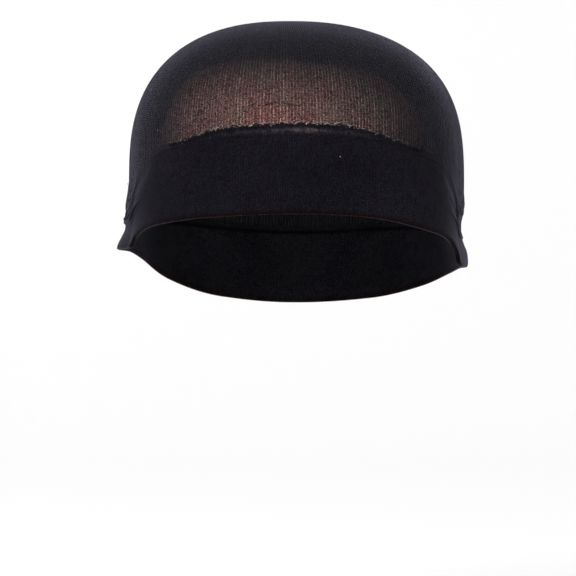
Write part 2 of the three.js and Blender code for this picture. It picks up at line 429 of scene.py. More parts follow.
def openness(points):
    """How far the knit is pulled open, from 0 to 1: most just above the middle of the front seam."""
    x, y, z = points[..., 0], points[..., 1], points[..., 2]
    border = OPEN_TOP - np.where(x < 0, *OPEN_TOP_FALLS) * x * x
    fullest = FULLY_OPEN + FULLY_OPEN_RISES * x * x
    down = (border - z) / (border - fullest)
    down = np.clip((down + np.hypot(down, OPEN_START)) / 2, 0, 1)
    fall = 1 - (1 - down) ** 1.6
    left = 1 - ease((-x - LEFT_FADE[0]) / LEFT_FADE[1])
    right = 1 - ease((x - RIGHT_FADE[0]) / RIGHT_FADE[1])
    return np.where(y < 0, fall * (left * right), 0)


def past_border(points):
    """How far each place lies below the border of the open part, as a height."""
    below = read_rows(BORDER, "x", "z", points[..., 0]) - points[..., 2]
    return np.where(points[..., 1] < 0, below, FAR_ABOVE)


def raised(points):
    """How much of its thickness a thread shows: all where the knit is open, little where it is dense."""
    return DENSE_RELIEF + (1 - DENSE_RELIEF) * ease(openness(points) * 3)


# Meshes


def set_attribute(mesh, name, values, kind="FLOAT"):
    """Puts a value on each vertex of a mesh."""
    layer = mesh.attributes.new(name, kind, "POINT")
    field = "vector" if kind == "FLOAT_VECTOR" else "value"
    layer.data.foreach_set(field, np.ravel(values).astype(np.float32))


def mark_open(mesh, places, share=1.0):
    """Puts on a mesh how far the knit is open, and how far past the border of the open part it is."""
    set_attribute(mesh, "open", openness(places) * share)
    set_attribute(mesh, "past", past_border(places))


def wrap(name, points, courses, flags=None, shares=None):
    """Wraps rows of points round the cap, and the last row on to the first. points is (rows,
    columns, 3), and a row that is one point becomes a pole. The map counts wales across and
    courses up. shares places the columns."""
    rows, columns = points.shape[:2]
    pole = np.ptp(points, axis=1).max(axis=1) < 1e-6
    ids = np.zeros((rows, columns), int)
    count = 0
    for row in range(rows):
        size = 1 if pole[row] else columns
        ids[row] = count + (0 if pole[row] else np.arange(columns))
        count += size
    places = np.zeros((count, 3))
    places[ids] = points
    faces, corners = [], []
    wale = (np.arange(columns + 1) / columns if shares is None else np.append(shares, 1)) * WALES
    for row in range(rows):
        after = (row + 1) % rows
        for c in range(columns):
            d = (c + 1) % columns
            quad = [
                (ids[row, c], wale[c], courses[row]),
                (ids[row, d], wale[c + 1], courses[row]),
                (ids[after, d], wale[c + 1], courses[after]),
                (ids[after, c], wale[c], courses[after]),
            ]
            if pole[row] and pole[after]:
                continue
            if pole[row]:
                quad.pop(1)
            if pole[after]:
                quad.pop(3)
            faces.append([corner[0] for corner in quad])
            corners.extend(quad)
    mesh = bpy.data.meshes.new(name)
    mesh.from_pydata((places * MM).tolist(), [], [[int(i) for i in face] for face in faces])
    layer = mesh.uv_layers.new(name="knit")
    layer.data.foreach_set("uv", np.array([corner[1:] for corner in corners], np.float32).ravel())
    mark_open(mesh, places)
    for key, values in (flags or {}).items():
        flat = np.zeros(count)
        flat[ids] = values
        set_attribute(mesh, key, flat)
    mesh.polygons.foreach_set("use_smooth", np.ones(len(faces), bool))
    return facing_out(mesh)


def facing_out(mesh):
    """Turns a closed mesh's faces outwards if its volume is negative."""
    places = np.zeros(len(mesh.vertices) * 3)
    mesh.vertices.foreach_get("co", places)
    places = places.reshape(-1, 3)
    mesh.calc_loop_triangles()
    corners = np.zeros(len(mesh.loop_triangles) * 3, np.int32)
    mesh.loop_triangles.foreach_get("vertices", corners)
    a, b, c = places[corners.reshape(-1, 3)].transpose(1, 0, 2)
    if np.einsum("ij,ij->", a, np.cross(b, c)) < 0:
        mesh.flip_normals()
    mesh.update()
    return mesh


def wire(name, paths, closed=False, **values):
    """Open or closed paths as edges. Each keyword is a list of one array for each path."""
    mesh = bpy.data.meshes.new(name)
    edges, start = [], 0
    for path in paths:
        edges += [(start + i, start + i + 1) for i in range(len(path) - 1)]
        if closed:
            edges.append((start + len(path) - 1, start))
        start += len(path)
    places = np.concatenate(paths)
    mesh.from_pydata((places * MM).tolist(), edges, [])
    mark_open(mesh, places)
    for key, lists in values.items():
        set_attribute(mesh, key, np.concatenate(lists))
    return mesh


def piece(name, mesh, slot, material=None, *replaced):
    """Finishes a mesh as one piece of the cap. Threads and loops bring their own material."""
    obj = bpy.data.objects.new(name, mesh)
    scene.collection.objects.link(obj)
    if material:
        mesh.materials.append(material)
    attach(obj, "root")
    if replaced:
        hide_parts(*replaced)


# Node helpers


def node(group, kind, *by_index, options=None, **by_name):
    """Adds a node. Inputs are values or sockets, by index or by name with _ for a space."""
    made = group.nodes.new(kind)
    for key, value in (options or {}).items():
        setattr(made, key, value)
    pairs = [(made.inputs[i], value) for i, value in enumerate(by_index) if value is not None]
    pairs += [(made.inputs[key.replace("_", " ")], value) for key, value in by_name.items()]
    for socket, value in pairs:
        feed(group, socket, value)
    return made


def feed(group, socket, value):
    """Gives an input a value, or a link from an output."""
    if isinstance(value, bpy.types.NodeSocket):
        group.links.new(value, socket)
    else:
        socket.default_value = value


def math_node(group, operation, *values):
    return node(group, "ShaderNodeMath", *values, options={"operation": operation}).outputs[0]


def line_node(group, value, times, plus):
    """A value times one number, plus another."""
    return math_node(group, "MULTIPLY_ADD", value, times, plus)


def range_node(group, value, start, end, least, most):
    """A value's way from start to end, as a way from least to most."""
    return node(group, "ShaderNodeMapRange", value, start, end, least, most).outputs[0]


def vector_product(group, vector, factors):
    return node(group, "ShaderNodeVectorMath", vector, factors, options={"operation": "MULTIPLY"}).outputs[0]


def noise(group, place, scale, detail, flat=False):
    """A smooth noise, in space or on the flat map of the cloth."""
    options = {"noise_dimensions": "2D" if flat else "3D"}
    made = node(group, "ShaderNodeTexNoise", Vector=place, Scale=scale, Detail=detail, options=options)
    return made.outputs[0]


def object_place(group):
    return node(group, "ShaderNodeTexCoord").outputs["Object"]


def knit_map(group):
    return node(group, "ShaderNodeUVMap", options={"uv_map": "knit"}).outputs[0]


def mix_colour(group, factor, a, b):
    made = group.nodes.new("ShaderNodeMix")
    made.data_type = "RGBA"
    for index, value in ((0, factor), (6, a), (7, b)):
        feed(group, made.inputs[index], value)
    return made.outputs[2]


def new_tree(name, kind, inputs, outputs):
    """An empty node group with named sockets, and its input and output nodes."""
    group = bpy.data.node_groups.new(name, kind)
    for label, socket, value in inputs:
        made = group.interface.new_socket(label, in_out="INPUT", socket_type="NodeSocket" + socket)
        if value is not None:
            made.default_value = value
    for label, socket in outputs:
        group.interface.new_socket(label, in_out="OUTPUT", socket_type="NodeSocket" + socket)
    return group, group.nodes.new("NodeGroupInput").outputs, group.nodes.new("NodeGroupOutput").inputs


# Geometry trees


def named_value(group, name, kind="FLOAT"):
    """A named attribute of the mesh that a geometry tree runs on."""
    return node(group, "GeometryNodeInputNamedAttribute", Name=name, options={"data_type": kind}).outputs[0]


def random_value(group, least, most, seed):
    """A random number for each point."""
    made = group.nodes.new("FunctionNodeRandomValue")
    made.data_type = "FLOAT"
    for key, value in ((2, least), (3, most), ("Seed", seed)):
        group.links.new(value, made.inputs[key])
    return made.outputs[1]


def thread_along(group, curve, sides, radius, share=1.0):
    """Thread of round section along a curve, with closed ends. share is how much of the radius it has."""
    section = node(group, "GeometryNodeCurvePrimitiveCircle", Resolution=sides, Radius=radius).outputs[0]
    ends = {"Profile_Curve": section, "Fill_Caps": True}
    return node(group, "GeometryNodeCurveToMesh", Curve=curve, Scale=share, **ends).outputs[0]


def end_tree(group, geometry, given, out):
    """Ends a geometry tree with real, smooth faces that have the finish."""
    real = node(group, "GeometryNodeRealizeInstances", Geometry=geometry).outputs[0]
    smooth = node(group, "GeometryNodeSetShadeSmooth", Geometry=real).outputs[0]
    dressed = node(group, "GeometryNodeSetMaterial", Geometry=smooth, Material=given["Finish"]).outputs[0]
    group.links.new(dressed, out["Geometry"])
    return group


def thread_tree():
    """Threads of round section along the edges of a mesh. thick is their share of the radius."""
    group, given, out = new_tree(
        "Knit Threads",
        "GeometryNodeTree",
        [
            ("Paths", "Geometry", None),
            ("Thread Radius", "Float", 0.0003),
            ("Sides", "Int", 4),
            ("Finish", "Material", None),
        ],
        [("Geometry", "Geometry")],
    )
    curve = node(group, "GeometryNodeMeshToCurve", Mesh=given["Paths"]).outputs[0]
    radius = math_node(group, "MULTIPLY", named_value(group, "thick"), given["Thread Radius"])
    return end_tree(group, thread_along(group, curve, given["Sides"], 1.0, radius), given, out)


def loop_tree():
    """A small loop of thread on each vertex of a mesh, standing along up and facing out."""
    group, given, out = new_tree(
        "Stitch Loops",
        "GeometryNodeTree",
        [
            ("Points", "Geometry", None),
            ("Loop Radius", "Float", 0.0005),
            ("Thread Radius", "Float", 0.00013),
            ("Sweep", "Float", math.pi),
            ("Least", "Float", 0.7),
            ("Most", "Float", 1.3),
            ("Lean", "Float", 0.3),
            ("Seed", "Int", SEED),
            ("Finish", "Material", None),
        ],
        [("Geometry", "Geometry")],
    )
    bow = {"Radius": given["Loop Radius"], "Sweep_Angle": given["Sweep"]}
    arc = node(group, "GeometryNodeCurveArc", Resolution=7, **bow).outputs[0]
    loop = thread_along(group, arc, 4, given["Thread Radius"])
    across = named_value(group, "across", "FLOAT_VECTOR")
    face = named_value(group, "face", "FLOAT_VECTOR")
    turned = node(
        group,
        "FunctionNodeAxesToRotation",
        Primary_Axis=across,
        Secondary_Axis=face,
        options={"primary_axis": "X", "secondary_axis": "Z"},
    ).outputs[0]
    back = math_node(group, "MULTIPLY", given["Lean"], -1.0)
    lean = random_value(group, back, given["Lean"], given["Seed"])
    spin = node(group, "FunctionNodeAxisAngleToRotation", Axis=(0, 0, 1), Angle=lean).outputs[0]
    local = {"rotation_space": "LOCAL"}
    both = node(group, "FunctionNodeRotateRotation", turned, spin, options=local).outputs[0]
    other_seed = math_node(group, "ADD", given["Seed"], 1.0)
    size = random_value(group, given["Least"], given["Most"], other_seed)
    loops = node(
        group,
        "GeometryNodeInstanceOnPoints",
        Points=given["Points"],
        Instance=loop,
        Rotation=both,
        Scale=size,
    ).outputs[0]
    return end_tree(group, loops, given, out)


def grown(name, base, group, **values):
    """Runs a geometry tree on a mesh and keeps what it makes as a plain mesh."""
    source = bpy.data.objects.new(name, base)
    scene.collection.objects.link(source)
    modifier = source.modifiers.new("Tree", "NODES")
    modifier.node_group = group
    for socket in group.interface.items_tree:
        key = socket.name.replace(" ", "_")
        if socket.in_out == "INPUT" and key in values:
            modifier[socket.identifier] = values[key]
    graph = bpy.context.evaluated_depsgraph_get()
    result = source.evaluated_get(graph)
    mesh = bpy.data.meshes.new_from_object(result, preserve_all_data_layers=True, depsgraph=graph)
    source.modifiers.remove(modifier)
    bpy.data.objects.remove(source)
    mesh.name = name
    return mesh


# Finishes


STITCHES_EACH = (2.6, 2.1, 1.0)  # light and dark stitches for each wale and course


def knit_cells():
    """The cells between wales and courses: 1 at the middle of a gap, and 0 on a thread."""
    group, given, out = new_tree(
        "Knit Cells",
        "ShaderNodeTree",
        [("Wales Each", "Float", 1.0), ("Courses Each", "Float", 1.0), ("Unevenness", "Float", 0.4)],
        [("Gap", "Float"), ("Height", "Float"), ("Stitch", "Float")],
    )
    cloth = knit_map(group)
    drift = math_node(group, "SUBTRACT", noise(group, cloth, 0.35, 2.0, flat=True), 0.5)
    parts = node(group, "ShaderNodeSeparateXYZ", cloth).outputs
    shift = math_node(group, "MULTIPLY", drift, given["Unevenness"])
    waves = []
    for part, each in ((parts[0], given["Wales Each"]), (parts[1], given["Courses Each"])):
        turns = math_node(group, "MULTIPLY", math_node(group, "ADD", part, shift), each)
        wave = math_node(group, "SINE", math_node(group, "MULTIPLY", turns, math.pi))
        waves.append(math_node(group, "MULTIPLY", wave, wave))
    gap = math_node(group, "MULTIPLY", waves[0], line_node(group, waves[1], 0.7, 0.3))
    group.links.new(gap, out["Gap"])
    group.links.new(math_node(group, "SUBTRACT", 1.0, gap), out["Height"])
    finer = vector_product(group, cloth, STITCHES_EACH)
    whole = node(group, "ShaderNodeVectorMath", finer, options={"operation": "FLOOR"}).outputs[0]
    flat = {"noise_dimensions": "2D"}
    stitch = node(group, "ShaderNodeTexWhiteNoise", Vector=whole, options=flat).outputs[0]
    group.links.new(stitch, out["Stitch"])
    return group


DARKEST_TONE = 0.15


def mottle():
    """Uneven tone of dyed cloth, broad and fine together, around 1."""
    group, given, out = new_tree(
        "Mottle",
        "ShaderNodeTree",
        [("Broad Scale", "Float", 40.0), ("Fine Scale", "Float", 900.0), ("Amount", "Float", 0.3)],
        [("Tone", "Float"), ("Grain", "Float")],
    )
    place = object_place(group)
    broad = noise(group, place, given["Broad Scale"], 3.0)
    fine = noise(group, place, given["Fine Scale"], 2.0)
    both = math_node(group, "SUBTRACT", math_node(group, "ADD", broad, fine), 1.0)
    tone = line_node(group, both, given["Amount"], 1.0)
    group.links.new(math_node(group, "MAXIMUM", tone, DARKEST_TONE), out["Tone"])
    group.links.new(fine, out["Grain"])
    return group


def grouped(tree, group, **values):
    """Places a shader group in a material, with its own values."""
    made = tree.nodes.new("ShaderNodeGroup")
    made.node_tree = group
    for key, value in values.items():
        made.inputs[key.replace("_", " ")].default_value = value
    return made.outputs


def principled(name, roughness, specular, sheen, sheen_roughness):
    """A new material, its tree and its shader, with the values that are the same all over."""
    material = bpy.data.materials.new(name)
    material.use_nodes = True
    tree = material.node_tree
    shader = tree.nodes["Principled BSDF"]
    shader.inputs["Roughness"].default_value = roughness
    shader.inputs["Specular IOR Level"].default_value = specular
    shader.inputs["Sheen Weight"].default_value = sheen
    shader.inputs["Sheen Roughness"].default_value = sheen_roughness
    shader.inputs["Sheen Tint"].default_value = SHEEN_TINT
    return material, tree, shader


def attribute(tree, name):
    """A named attribute of the mesh, in a material."""
    return node(tree, "ShaderNodeAttribute", options={"attribute_name": name}).outputs["Fac"]


def toned(tree, colour, tone):
    """A colour times a tone."""
    return node(tree, "ShaderNodeVectorMath", colour, Scale=tone, options={"operation": "SCALE"}).outputs[0]


def bumped(tree, shader, height, strength, distance):
    """Gives a shader fine relief, of a height over a distance in metres."""
    made = node(tree, "ShaderNodeBump", Height=height, Strength=strength, Distance=distance)
    tree.links.new(made.outputs[0], shader.inputs["Normal"])


KNIT_CELLS, MOTTLE = knit_cells(), mottle()
SHEEN_TINT = (0.72, 0.69, 0.95, 1)
CROWN_DARK = (0.008, 0.0074, 0.0102, 1)
BAND_DARK = (0.0066, 0.006, 0.009, 1)
# painted shade along the fold of the hem, with a painted reddish reflection
FOLD_PAINTED_SHADE = (0.0055, 0.0022, 0.0025, 1)
STRIP_DARK = (0.007, 0.0062, 0.0092, 1)
STRIP_PALE = (0.033, 0.0305, 0.038, 1)
STRIP_BROWN = (0.07, 0.046, 0.044, 1)
OPEN_BROWN = (0.17, 0.1, 0.083, 1)
OPEN_RUDDY = (0.194, 0.08, 0.075, 1)
DULLED = (0.97, 1.25, 1.38)  # what makes a warm colour dull where the knit starts to open
GREYED = (0.4, 0.8, 1.05)  # what makes it grey above the border of the open part


def opened_colour(tree, dark, warm):
    """A dark colour that turns warm where the knit is open, and only greyish above the border."""
    opened = attribute(tree, "open")
    within = range_node(tree, attribute(tree, "past"), -BORDER_SOFT, BORDER_SOFT, 0.0, 1.0)
    below = mix_colour(tree, opened, vector_product(tree, warm, DULLED), warm)
    pulled = mix_colour(tree, within, vector_product(tree, warm, GREYED), below)
    return mix_colour(tree, opened, dark, pulled)


def ruddy_mix(tree, brown, ruddy):
    """Two warm colours in broad patches, as the dye lies unevenly in stretched cloth."""
    patches = noise(tree, object_place(tree), 62.0, 3.0)
    return mix_colour(tree, range_node(tree, patches, 0.38, 0.62, 0.0, 1.0), brown, ruddy)


def sheer_film():
    """The sheer cloth between the threads: dark, and warm and see-through where it is open."""
    material, tree, shader = principled(
        "Sheer Knit Film", roughness=0.8, specular=0.05, sheen=0.42, sheen_roughness=0.18
    )
    opened = attribute(tree, "open")
    cells = grouped(tree, KNIT_CELLS, Unevenness=0.5)
    tone = grouped(tree, MOTTLE, Broad_Scale=55.0, Amount=0.6)
    colour = opened_colour(tree, CROWN_DARK, ruddy_mix(tree, OPEN_BROWN, OPEN_RUDDY))
    glint = line_node(tree, cells["Gap"], 0.6, 0.4)
    sparkle = math_node(tree, "MULTIPLY", glint, line_node(tree, cells["Stitch"], 1.4, 0.3))
    middle = 0.75  # the sparkle plays about this value, and more where the knit is open
    liveliness = range_node(tree, opened, 0.0, 0.25, 0.7, 1.0)
    lively = line_node(tree, math_node(tree, "SUBTRACT", sparkle, middle), liveliness, middle)
    tree.links.new(toned(tree, toned(tree, colour, lively), tone["Tone"]), shader.inputs["Base Color"])
    clear = math_node(tree, "MULTIPLY", cells["Gap"], line_node(tree, opened, 0.2, 0.12))
    tree.links.new(math_node(tree, "SUBTRACT", 1.0, clear), shader.inputs["Alpha"])
    bumped(tree, shader, line_node(tree, cells["Stitch"], 0.8, cells["Height"]), 0.55, 0.0003)
    return material


def strip_film():
    """The strip of the seam: dark as the band, paler where it is pulled, brownish where most open."""
    material, tree, shader = principled(
        "Pulled Strip Film", roughness=0.85, specular=0.05, sheen=0.26, sheen_roughness=0.25
    )
    patch = range_node(tree, noise(tree, knit_map(tree), 0.6, 3.0, flat=True), 0.36, 0.6, 0.15, 1.0)
    pale = math_node(tree, "MULTIPLY", patch, attribute(tree, "row"))
    pulled = mix_colour(tree, pale, STRIP_DARK, STRIP_PALE)
    brown = math_node(tree, "MULTIPLY", attribute(tree, "gape"), pale)
    warmed = mix_colour(tree, brown, pulled, STRIP_BROWN)
    colour = mix_colour(tree, attribute(tree, "pulled"), CROWN_DARK, warmed)
    tone = grouped(tree, MOTTLE, Amount=2.2, Fine_Scale=1500.0)
    tree.links.new(toned(tree, colour, tone["Tone"]), shader.inputs["Base Color"])
    cells = grouped(tree, KNIT_CELLS, Unevenness=1.0)
    bumped(tree, shader, cells["Height"], 0.5, 0.0002)
    return material


def knit_thread(name, dark, warm, sheen, beading=0.5):
    """Thread of one of the pieces, warmer and paler where the knit is open, with light and dark stitches."""
    material, tree, shader = principled(name, roughness=0.8, specular=0.05, sheen=sheen, sheen_roughness=0.3)
    tone = grouped(tree, MOTTLE, Amount=0.9, Fine_Scale=700.0)
    ruddy = (warm[0] * 1.06, warm[1] * 0.9, warm[2] * 0.95, 1)
    colour = opened_colour(tree, (*dark, 1), ruddy_mix(tree, (*warm, 1), ruddy))
    stitches = node(tree, "ShaderNodeTexVoronoi", Vector=object_place(tree), Scale=2400.0)
    pick = node(tree, "ShaderNodeSeparateColor", stitches.outputs["Color"]).outputs[0]
    beads = line_node(tree, math_node(tree, "MULTIPLY", pick, pick), 3 * beading, 1 - beading)
    tree.links.new(toned(tree, toned(tree, colour, tone["Tone"]), beads), shader.inputs["Base Color"])
    bumped(tree, shader, tone["Grain"], 0.3, 0.0001)
    return material


def band_knit():
    """Two layers of dense knit, with painted shade and a reddish painted reflection at the hem's fold, and
    painted light and shade on its pleats' crests.
    """
    material, tree, shader = principled(
        "Dense Band Knit", roughness=0.9, specular=0.04, sheen=0.26, sheen_roughness=0.23
    )
    cells = grouped(tree, KNIT_CELLS, Wales_Each=2.0, Courses_Each=2.0, Unevenness=0.8)
    tone = grouped(tree, MOTTLE, Amount=1.1, Fine_Scale=1300.0)
    # painted shade and a painted reddish reflection along the hem's fold
    colour = mix_colour(tree, attribute(tree, "fold"), BAND_DARK, FOLD_PAINTED_SHADE)
    knitted = line_node(tree, cells["Height"], 0.5, 0.55)
    speckled = math_node(tree, "MULTIPLY", knitted, line_node(tree, cells["Stitch"], 1.15, 0.48))
    # painted highlight on the crests of the pleats, and painted shade beside them
    crest_highlight_and_shade = math_node(tree, "MULTIPLY", speckled, line_node(tree, attribute(tree, "crease"), 2.4, 1.0))
    tree.links.new(toned(tree, toned(tree, colour, tone["Tone"]), crest_highlight_and_shade), shader.inputs["Base Color"])
    clear = math_node(tree, "MULTIPLY", cells["Gap"], 0.1)
    tree.links.new(math_node(tree, "SUBTRACT", 1.0, clear), shader.inputs["Alpha"])
    bumped(tree, shader, line_node(tree, tone["Grain"], 0.5, cells["Height"]), 0.35, 0.0002)
    return material


# Crown


def crown_cloth():
    """The sheer film of the crown, closed at the top and round its lower edge. Its first row reaches
    down behind the seam."""
    climb = np.append(0, np.linspace(0, 1, CROWN_ROWS))
    turn, depth = crown_place(even_turns(CROWN_COLUMNS)[None, :], climb[:, None])
    depth[0] += TUCK
    outer = cloth_point(turn, depth, FILM_OUTER)
    inner = cloth_point(turn, depth, FILM_INNER)
    points = np.concatenate([outer, inner[::-1]])
    courses = np.concatenate([climb, climb[::-1]]) * COURSES
    return wrap("crown_cloth", points, courses)


def wale_paths(rng):
    """Ribs from the seam up to the top. Towards the top, one in two joins its neighbour, again and again."""
    feet = even_turns(WALES)
    gap = 2 / WALES
    paths, thick = [], []
    for k, foot in enumerate(feet):
        level = 0
        while level < JOININGS and k % 2 ** (level + 1) == 0:
            level += 1
        joins = level < JOININGS
        end = 1 - FIRST_JOINING * 0.5**level if joins else LAST_END
        at = np.linspace(0, end, max(8, round(RIB_STEPS * end)))
        joining = ease((at - end + JOINING_LENGTH) / JOINING_LENGTH) * (JOINING_REACH if joins else 0)
        aside = 2**level * rng.choice((-1, 1)) * joining + 0.06 * rng.standard_normal(len(at))
        points = cloth_point(*crown_place(foot + gap * aside, at), FILM_OUTER)
        paths.append(points)
        slim = np.minimum(1, 0.25 + 1.6 * (1 - at)) * raised(points)
        thick.append(slim * np.clip(1 + 0.28 * rng.standard_normal(), 0.4, 1.6) * (1 - 0.5 * joining))
    return paths, thick


def course_paths(rng):
    """Rows of stitches round the crown."""
    paths, thick = [], []
    for j in range(1, COURSES - 1):
        at = (j - 0.5) / COURSES
        feet = even_turns(max(LEAST_STEPS, round(COURSE_STEPS * (1 - at) ** 0.75)))
        points = cloth_point(*crown_place(feet, np.full(feet.shape, at)), FILM_OUTER)
        paths.append(points)
        thick.append(raised(points) * np.clip(1 + 0.2 * rng.standard_normal(), 0.6, 1.5))
    return paths, thick


# Seam


def seam_ridge(rng):
    """The turned edge: a thin uneven roll at the front, which flattens towards the sides."""
    columns = WALES * 3
    turn = even_turns(columns)
    middle = ridge_bottom_depth(turn) - RIDGE_HEIGHT / 2
    thrice = np.tile(rng.standard_normal(columns), 3)
    wander = np.convolve(thrice, np.hanning(7) / 3, "same")[columns : 2 * columns]
    thick = (0.8 + 0.3 * rng.standard_normal(columns) + 0.25 * wander).clip(0.35, 1.6)
    proud = 0.25 + 0.75 * at_front(turn)
    rows = []
    for side in range(RIDGE_SIDES):
        angle = 2 * math.pi * side / RIDGE_SIDES
        depth = middle + proud * (0.3 * wander - 0.55 * thick * math.sin(angle))
        out = 0.75 + 0.2 * at_front(turn) + 0.5 * proud * thick * math.cos(angle)
        rows.append(cloth_point(turn, depth, out))
    return wrap("seam_ridge", np.array(rows), np.arange(RIDGE_SIDES) / RIDGE_SIDES)


def seam_strip():
    """The strip that the stretched front pulls open, tucked under the ridge and the band's edge."""
    turn = even_turns(WALES * 2)
    top = ridge_bottom_depth(turn) - 1.4
    bottom = band_top_depth(turn) + 1.6
    share = np.array([0, 0.01, *np.arange(1, 8) / 8, 0.99, 1])[:, None]
    depth = top + (bottom - top) * share
    outer = cloth_point(turn[None, :], depth, FILM_OUTER + 0.04)
    inner = cloth_point(turn[None, :], depth, FILM_INNER - 0.04)
    points = np.concatenate([outer, inner[::-1]])
    courses = np.concatenate([share[:, 0], share[::-1, 0]]) * 6
    pulled = np.broadcast_to(strip_share(turn), points.shape[:2])
    row = bump(courses / 6 - 0.484, 0.14)[:, None]  # the one row of stitches that shows
    gape = bump(points[..., 0] - GAPE_PLACE, GAPE_WIDTH)
    flags = {"pulled": pulled, "row": row * pulled, "gape": pulled * gape}
    return wrap("seam_strip", points, courses, flags)


def strip_paths(rng):
    """Upright stitches across the pulled strip."""
    paths, thick = [], []
    for turn in even_turns(WALES):
        if strip_share(turn) < 0.12:
            continue
        top = ridge_bottom_depth(turn) - 0.3
        bottom = band_top_depth(turn) + 0.6
        at = np.linspace(0, 1, 6)
        sway = 0.0025 * rng.standard_normal() * at + 0.0008 * rng.standard_normal(6)
        paths.append(cloth_point(turn + sway, top + (bottom - top) * at, FILM_OUTER + 0.15))
        thick.append(np.clip(0.7 + 0.4 * rng.standard_normal() + 0.3 * rng.standard_normal(6), 0.2, 1.8))
    return paths, thick


def stitch_points(rng, each, below, uneven, out):
    """Places of small loops along the seam, so many for each wale, so far below the crown's edge.
    They keep clear of the middle of each side, where the seam lies flat."""
    turn = even_turns(WALES * each, 0.5)
    turn = turn[np.abs(np.abs(turn) - SIDE_MIDDLE) > STITCHES_CLEAR]
    depth = crown_edge_depth(turn) + below + uneven * rng.standard_normal(len(turn))
    places = cloth_point(turn, depth, out)
    face = outward(turn, depth)
    across = plain_point(turn + 1e-3, depth) - plain_point(turn - 1e-3, depth)
    across /= np.linalg.norm(across, axis=-1, keepdims=True)
    mesh = bpy.data.meshes.new("stitch_points")
    mesh.from_pydata((places * MM).tolist(), [], [])
    mark_open(mesh, places, rng.random(len(turn)) ** 0.7)
    set_attribute(mesh, "across", across, "FLOAT_VECTOR")
    set_attribute(mesh, "face", face, "FLOAT_VECTOR")
    return mesh


# Band


def near_fold(share):
    """1 at the fold of the band, at this share of the way down, and 0 a little above it."""
    return bump((1 - share) * BAND_HEIGHT, 1.1)


def band_cloth():
    """The doubled band, with the rounded fold of the hem and an upper edge that thins to the crown."""
    shares = crowded_shares(BAND_COLUMNS, place=SIDE_MIDDLE, width=0.13, times=2.5)
    turn = turns_at(shares)
    top = band_top_depth(turn) + SEAM_GAP
    fold = hem_depth(turn) - BAND_WALL / 2
    rows, courses, fold_shades, creases = [], [], [], []

    def add(depth, out, course, folded, crest=0.0):
        # the crease raises the cloth and also carries the pleats' painted highlight and shade
        crease = crest * crease_shade(turn, depth)
        rows.append(cloth_point(turn, depth, out + CREASE_RISE * crease))
        courses.append(course)
        # where the hem's painted shade lies
        fold_shades.append(np.full(len(turn), folded))
        creases.append(crease)

    edge = FILM_OUTER - 0.1
    add(top, edge, 0, 0)
    add(top - 0.1, edge + 0.1, 0, 0)
    for share in np.append(0.001, np.linspace(0.01, 1, BAND_ROWS)):
        depth = top + (fold - top) * share
        proud = HEM_ROLL * bump(fold - depth, BAND_WALL * 2)
        thinned = bump(share, 0.07) * at_front(turn) + bump(share, 0.16) * (1 - at_front(turn))
        out = BAND_WALL - (BAND_WALL - FILM_OUTER - 0.1) * thinned + proud
        add(depth, out, BAND_COURSES * share, near_fold(share), 1.0)
    for angle in np.linspace(0.3, 1.7, FOLD_ROWS) * math.pi / 2:
        half = (BAND_WALL + HEM_ROLL) / 2
        add(fold + BAND_WALL / 2 * np.sin(angle), half * (1 + math.cos(angle)), BAND_COURSES + angle, 1)
    for share in np.linspace(1, 0, LINING_ROWS):
        add(top + (fold - top) * share, 0.0, BAND_COURSES * share, near_fold(share))
    flags = {"fold": np.array(fold_shades), "crease": np.array(creases)}
    return wrap("band_cloth", np.array(rows), np.array(courses), flags, shares)


def drawn_paths(rng):
    """One course drawn tight across the front of the crown, as a fine dark line."""
    count = 26
    turn = np.linspace(-0.066, 0.004, count)
    arch = np.sin(math.pi * (turn + 0.066) / 0.07) ** 2
    depth = 42.9 - 1.3 * arch + 0.12 * rng.standard_normal(count)
    thick = np.clip(1 + 0.4 * rng.standard_normal(count), 0.3, 2)
    return [cloth_point(turn, depth, FILM_OUTER + 0.3)], [thick]


def lint_paths(rng):
    """Short pale fibres that cling to the cloth: two at the front, and a few all round."""
    places = [(-0.29, 52.0), (-0.11, 8.0)]
    places += [(turn, rng.uniform(12, 75)) for turn in rng.uniform(-1, 1, 9)]
    paths, count = [], 6
    for turn, depth in places:
        at = np.linspace(-0.5, 0.5, count)
        heading = rng.uniform(0, math.pi)
        bend = rng.uniform(-0.5, 0.5) * at**2
        reach = rng.uniform(0.5, 1.0)
        across = reach * (at * math.cos(heading) - bend * math.sin(heading)) / HALF_GIRTH
        down = reach * (at * math.sin(heading) + bend * math.cos(heading))
        paths.append(cloth_point(turn + across, depth + down, BAND_WALL + 0.1))
    return paths, [np.full(count, 1.0)] * len(paths)


# The cap

rng = np.random.default_rng(SEED)
threads, loops = thread_tree(), loop_tree()

rib_thread = knit_thread("Rib Thread", (0.0072, 0.0066, 0.009), (0.21, 0.132, 0.108), sheen=0.2, beading=0.85)
course_thread = knit_thread(
    "Course Thread", (0.008, 0.0074, 0.0102), (0.175, 0.096, 0.08), sheen=0.2, beading=0.8
)
drawn_thread = knit_thread("Drawn Thread", (0.012, 0.008, 0.009), (0.02, 0.011, 0.011), sheen=0.1)
ridge_thread = knit_thread("Seam Thread", (0.0056, 0.005, 0.0072), (0.006, 0.005, 0.0064), sheen=0.12)
picot_thread = knit_thread("Picot Thread", (0.0075, 0.007, 0.0095), (0.43, 0.355, 0.3), sheen=0.08)
strip_thread = knit_thread(
    "Strip Thread", (0.009, 0.008, 0.0118), (0.0125, 0.0112, 0.0158), sheen=0.1, beading=0.9
)
lint_fibre = knit_thread("Lint Fibre", (0.25, 0.25, 0.27), (0.3, 0.3, 0.3), sheen=0.1)


def threads_piece(name, slot, made, radius, sides, finish, closed=False):
    """A piece of threads along the paths that were made."""
    paths, thick = made
    base = wire(name, paths, closed=closed, thick=thick)
    piece(name, grown(name, base, threads, Thread_Radius=radius * MM, Sides=sides, Finish=finish), slot)


def loops_piece(name, points, **sizes):
    """A piece of small loops of thread along the seam, one on each point. Its sizes are in metres."""
    piece(name, grown(name, points, loops, **sizes), "seam_knit")


